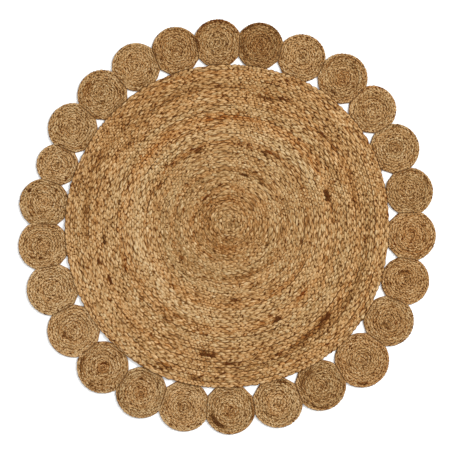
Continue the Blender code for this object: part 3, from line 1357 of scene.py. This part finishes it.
# The rim coils in order, clockwise from the top.
COIL_LOOKS = (
    CoilLook(Lot.TAN, marks=(Patch(105, 65, 130, 9, -0.35, 0.10), Patch(185, 64, 40, 9, -0.42))),
    CoilLook(
        Lot.DUN,
        Lot.BROWN,
        (
            Patch(0, 40, ALL_ROUND, 100, -0.065),
            Patch(90, 64, 140, 9, -0.21),
            Patch(190, 52, 80, 10, -0.28),
        ),
    ),
    CoilLook(Lot.STRAW, marks=(Patch(0, 3, ALL_ROUND, 10, -0.20),), paler=-0.02),
    CoilLook(
        Lot.TAN,
        Lot.BROWN,
        (Patch(0, 12, ALL_ROUND, 40, -0.05), Patch(235, 50, 20, 8, -0.70), Patch(90, 60, 120, 8, -0.17)),
    ),
    CoilLook(
        Lot.STRAW,
        Lot.DUN,
        (Patch(0, 32, ALL_ROUND, 26, -0.07), Patch(100, 66, 60, 8, -0.07, 0.15)),
        paler=0.02,
    ),
    CoilLook(Lot.STRAW, Lot.DUN, paler=-0.03),
    CoilLook(Lot.TAN, marks=(Patch(30, 56, 30, 10, -0.35), Patch(90, 62, 60, 8, -0.17))),
    CoilLook(Lot.GOLDEN, Lot.BROWN, (Patch(330, 62, 20, 8, -0.25),), paler=0.015),
    CoilLook(Lot.GOLDEN, Lot.BROWN, (Patch(95, 27, 90, 8, -0.49), Patch(190, 50, 30, 8, -0.21))),
    CoilLook(
        Lot.TAN, Lot.DUN, (Patch(230, 15, 90, 12, -0.42), Patch(350, 20, 40, 8, -0.14, 0.30)), paler=0.015
    ),
    CoilLook(Lot.GOLDEN, marks=(Patch(270, 68, 24, 6, -0.65), Patch(310, 50, 12, 7, -0.60))),
    CoilLook(
        Lot.TAN,
        None,
        (Patch(0, 34, ALL_ROUND, 28, -0.06), Patch(160, 54, 80, 16, -0.35), Patch(270, 64, 60, 8, -0.21)),
    ),
    CoilLook(Lot.PALE, marks=(Patch(75, 65, 40, 7, -0.42),), paler=0.03),
    CoilLook(
        Lot.STRAW, Lot.BROWN, (Patch(220, 54, 70, 14, -0.56), Patch(0, 68, 60, 8, -0.28)), paler=0.025
    ),
    CoilLook(Lot.PALE, Lot.DUN, paler=0.03),
    CoilLook(
        Lot.STRAW, Lot.BROWN, (Patch(90, 42, 16, 9, -0.75), Patch(190, 68, 20, 8, -0.65)), paler=0.03
    ),
    CoilLook(
        Lot.STRAW,
        Lot.BROWN,
        (Patch(60, 15, 60, 8, -0.49), Patch(170, 64, 50, 8, -0.35), Patch(235, 60, 16, 8, -0.70)),
        paler=0.01,
    ),
    CoilLook(Lot.PALE, marks=(Patch(200, 26, 50, 9, -0.42), Patch(250, 20, 50, 9, -0.42)), paler=0.065),
    CoilLook(Lot.PALE, paler=0.085),
    CoilLook(
        Lot.STRAW, Lot.GOLDEN, (Patch(110, 20, 24, 9, -0.80), Patch(260, 36, 14, 8, -0.60)), paler=0.055
    ),
    CoilLook(
        Lot.STRAW,
        None,
        (Patch(140, 56, 12, 9, -0.90), Patch(85, 45, 16, 7, -0.10, 0.35), Patch(225, 50, 12, 7, -0.60)),
        paler=0.025,
    ),
    CoilLook(Lot.PALE, marks=(Patch(0, 3, ALL_ROUND, 10, -0.25),), paler=0.055),
    CoilLook(Lot.STRAW, marks=(Patch(5, 56, 60, 14, 0.08),), paler=0.03),
    CoilLook(
        Lot.TAN,
        Lot.STRAW,
        (Patch(165, 46, 70, 20, -0.20, 0.15), Patch(270, 25, 30, 9, -0.63), Patch(60, 40, 60, 16, -0.08)),
    ),
    CoilLook(Lot.STRAW, marks=(Patch(280, 56, 50, 8, -0.28),)),
    CoilLook(Lot.TAN, marks=(Patch(55, 62, 90, 9, -0.21), Patch(185, 64, 40, 9, -0.35)), paler=-0.015),
)


CENTRE_SEED = 11
CENTRE_TAIL = math.radians(250)
CENTRE_SHIFT = (4.3 * MM, 7.5 * MM)
COIL_SEED = 100  # and one more for each coil


def centre_disc(node: Object) -> Disc:
    """Plans the big disc in the middle.

    Args:
        node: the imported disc.

    Returns:
        The disc.
    """
    winding = Winding(Rim.of_node(node), CENTRE_GAUGE, CENTRE_TAIL, CENTRE_SHIFT)
    plait = Plait("centre_plait", winding, CENTRE_SEED, CENTRE_SPLICES, CENTRE_PATCHES, pieces=3)
    inner = PaintedShadeSheet("centre_painted_shade", winding, columns=180, rows=12)
    return Disc(node.name, "centre_jute", plait, inner)


def rim_coil(number: int, node: Object, rug_centre: Array) -> Disc:
    """Plans one of the small coils round the rim. Its plait ends where it meets the centre disc.

    Args:
        number: which coil it is, from 1.
        node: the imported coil.
        rug_centre: the middle of the centre disc.

    Returns:
        The coil.
    """
    rim = Rim.of_node(node, rug_centre)
    winding = Winding(rim, COIL_GAUGE, tail=rim.outward + math.pi, seam=1.6 * MM, ring_turns=4)
    look, seed = COIL_LOOKS[number - 1], COIL_SEED + number
    plait = Plait(f"coil_plait_{number:02d}", winding, seed, look.splices, look.patches, COIL_UNEVENNESS)
    inner = PaintedShadeSheet(f"coil_painted_shade_{number:02d}", winding, low=2.3 * MM, high=4.4 * MM, inset=2.4 * MM)
    return Disc(node.name, "coil_jute", plait, inner)


# ---- sewing ----


@dataclass(frozen=True)
class Seam:
    """Where two discs touch, a short line on which they are sewn together."""

    middle: Array
    across: Array  # from the first disc to the second, of length 1
    half_length: float
    tops: tuple[float, float]  # the height of the jute on both sides

    GAP = 0.3 * MM  # between two packed discs

    @classmethod
    def between(cls, first: Disc, second: Disc) -> "Seam":
        """Finds the seam of two discs.

        Args:
            first: a rim coil.
            second: the disc that it touches.

        Returns:
            The seam.
        """
        here, there = first.plait.winding, second.plait.winding
        way = there.rim.centre - here.rim.centre
        across = way / np.linalg.norm(way)
        reach = float(here.rim.reach(np.array([math.atan2(across[1], across[0])]))[0])
        middle = here.rim.centre + across * (reach + cls.GAP / 2)
        half_length = math.sqrt(max(here.rim.widest**2 - reach**2, 0.0))
        return cls(middle, across, half_length, (here.gauge.height, there.gauge.height))


@dataclass
class Stitches:
    """Over-and-over stitches of jute thread across the seams, in one mesh."""

    name: str
    seams: Sequence[Seam]
    seed: int = 5
    thread: float = 1.1 * MM
    spacing: float = 11 * MM
    bite: float = 6 * MM  # from the seam to where the thread goes in
    slant: float = 2.5 * MM  # between the two ends, along the seam
    stray: float = 0.8 * MM  # of hand sewing
    dip: float = 2.6 * MM  # into the seam
    sink: float = 3.0 * MM  # of the ends, between the strands
    fewest: int = 2  # on a seam
    steps: int = 9
    sides: int = 5

    def build(self, thread: Material) -> Object:
        """Builds the stitches.

        Args:
            thread: their material.

        Returns:
            The piece.
        """
        rng = np.random.default_rng(self.seed)
        points, faces = [], []
        for seam in self.seams:
            count = max(int(2 * seam.half_length / self.spacing), self.fewest)
            for place in (np.arange(count) - (count - 1) / 2) * self.spacing:
                along, ends = tube_faces(self.steps, self.sides, sum(map(len, points)))
                faces += along + ends
                points.append(self._stitch(rng, seam, place))
        piece = new_piece(self.name, np.concatenate(points), faces)
        piece.data.materials.append(thread)
        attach(piece, BODY)
        return piece

    def _stitch(self, rng: np.random.Generator, seam: Seam, place: float) -> Array:
        """Lays out one stitch.

        Args:
            rng: the random generator.
            seam: the seam it crosses.
            place: where it crosses, from the seam's middle.

        Returns:
            The points of its rings.
        """
        side = np.linspace(-1, 1, self.steps)
        along = np.array([-seam.across[1], seam.across[0]])
        off = place + side * self.slant / 2 + rng.normal(0, self.stray, 2) @ [np.ones(self.steps), side]
        flat = seam.middle + along * off[:, None] + seam.across * (side * self.bite)[:, None]
        top = seam.tops[0] + (seam.tops[1] - seam.tops[0]) * (side + 1) / 2
        dip = self.dip * np.clip(1 - 2 * np.abs(side), 0, 1)
        sink = self.sink * np.clip(2 * np.abs(side) - 1, 0, 1) ** 2
        line = np.column_stack([flat, top - dip - sink])
        half = np.full(self.steps, self.thread / 2)
        return tube_rings(line, half, half, self.sides)[0].reshape(-1, 3)


# ---- studio ----


@dataclass
class Studio:
    """A white floor, soft light from all round with a mild key, and a camera overhead."""

    floor_size: float = 12.0
    view_width: float = 1.301  # of the picture at the rug
    view_centre: tuple[float, float] = (-6.2 * MM, 5.4 * MM)
    camera_height: float = 3.0
    sensor: float = 36.0  # mm
    sky: str = "#ffffff"
    sky_strength: float = 0.97
    key_power: float = 760.0
    key_size: float = 3.0
    key_place: tuple[float, float, float] = (6.0, 3.3, 5.4)  # so far that no side is lighter

    def build(self) -> None:
        """Builds the studio."""
        bpy.context.scene.view_settings.view_transform = "Standard"
        self._light()
        self._lay_floor()
        self._set_camera()

    def _light(self) -> None:
        """Lights the scene: soft from all round, with one big softbox."""
        world = bpy.data.worlds.new("soft_studio_light")
        world.use_nodes = True
        sky = {"Color": linear(self.sky), "Strength": self.sky_strength}
        feed(world.node_tree, world.node_tree.nodes["Background"], sky)
        bpy.context.scene.world = world
        key = bpy.data.lights.new("key_softbox", "AREA")
        key.shape = "DISK"
        key.size = self.key_size
        key.energy = self.key_power
        softbox = bpy.data.objects.new("key_softbox", key)
        softbox.location = self.key_place
        softbox.rotation_euler = (-Vector(self.key_place)).to_track_quat("-Z", "Y").to_euler()
        bpy.context.scene.collection.objects.link(softbox)

    def _lay_floor(self) -> None:
        """Lays the floor that the rug lies on."""
        half = self.floor_size / 2
        corners = np.array([(-half, -half, 0), (half, -half, 0), (half, half, 0), (-half, half, 0)])
        floor = new_piece("studio_floor", corners, [(0, 1, 2, 3)])
        floor.data.materials.append(PaintedFloor().material())

    def _set_camera(self) -> None:
        """Hangs the camera straight above the rug."""
        lens = bpy.data.cameras.new("overhead_camera")
        lens.sensor_width = self.sensor
        lens.lens = self.sensor * self.camera_height / self.view_width
        camera = bpy.data.objects.new("overhead_camera", lens)
        camera.location = (*self.view_centre, self.camera_height)
        bpy.context.scene.collection.objects.link(camera)
        bpy.context.scene.camera = camera


def main() -> None:
    """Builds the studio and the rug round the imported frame, and reports each piece."""
    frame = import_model()
    logging.basicConfig(level=logging.INFO, format="%(name)s: %(message)s")
    Studio().build()
    jute = PlaitedJute().material()
    # painted shade for the sheets that show between the strands
    fibre = PaintedShadeFibre().material()
    nodes = frame["nodes"]
    centre = centre_disc(nodes["centre_disc"])
    discs = [centre]
    rug_centre = centre.plait.winding.rim.centre
    for number in range(1, len(nodes)):
        discs.append(rim_coil(number, nodes[f"rim_coil_{number:02d}"], rug_centre))
    pieces = [piece for disc in discs for piece in disc.build(jute, fibre)]
    coils = discs[1:]
    seams = [Seam.between(coil, beside) for coil, beside in zip(coils, [*coils[1:], coils[0]])]
    seams += [Seam.between(coil, centre) for coil in coils]
    pieces.append(Stitches("rim_stitches", seams).build(SewingThread().material()))
    for piece in pieces:
        LOG.info("%s: %d triangles", piece.name, triangles_of(piece))
    LOG.info("all pieces: %d triangles", sum(map(triangles_of, pieces)))


if __name__ == "__main__":
    main()
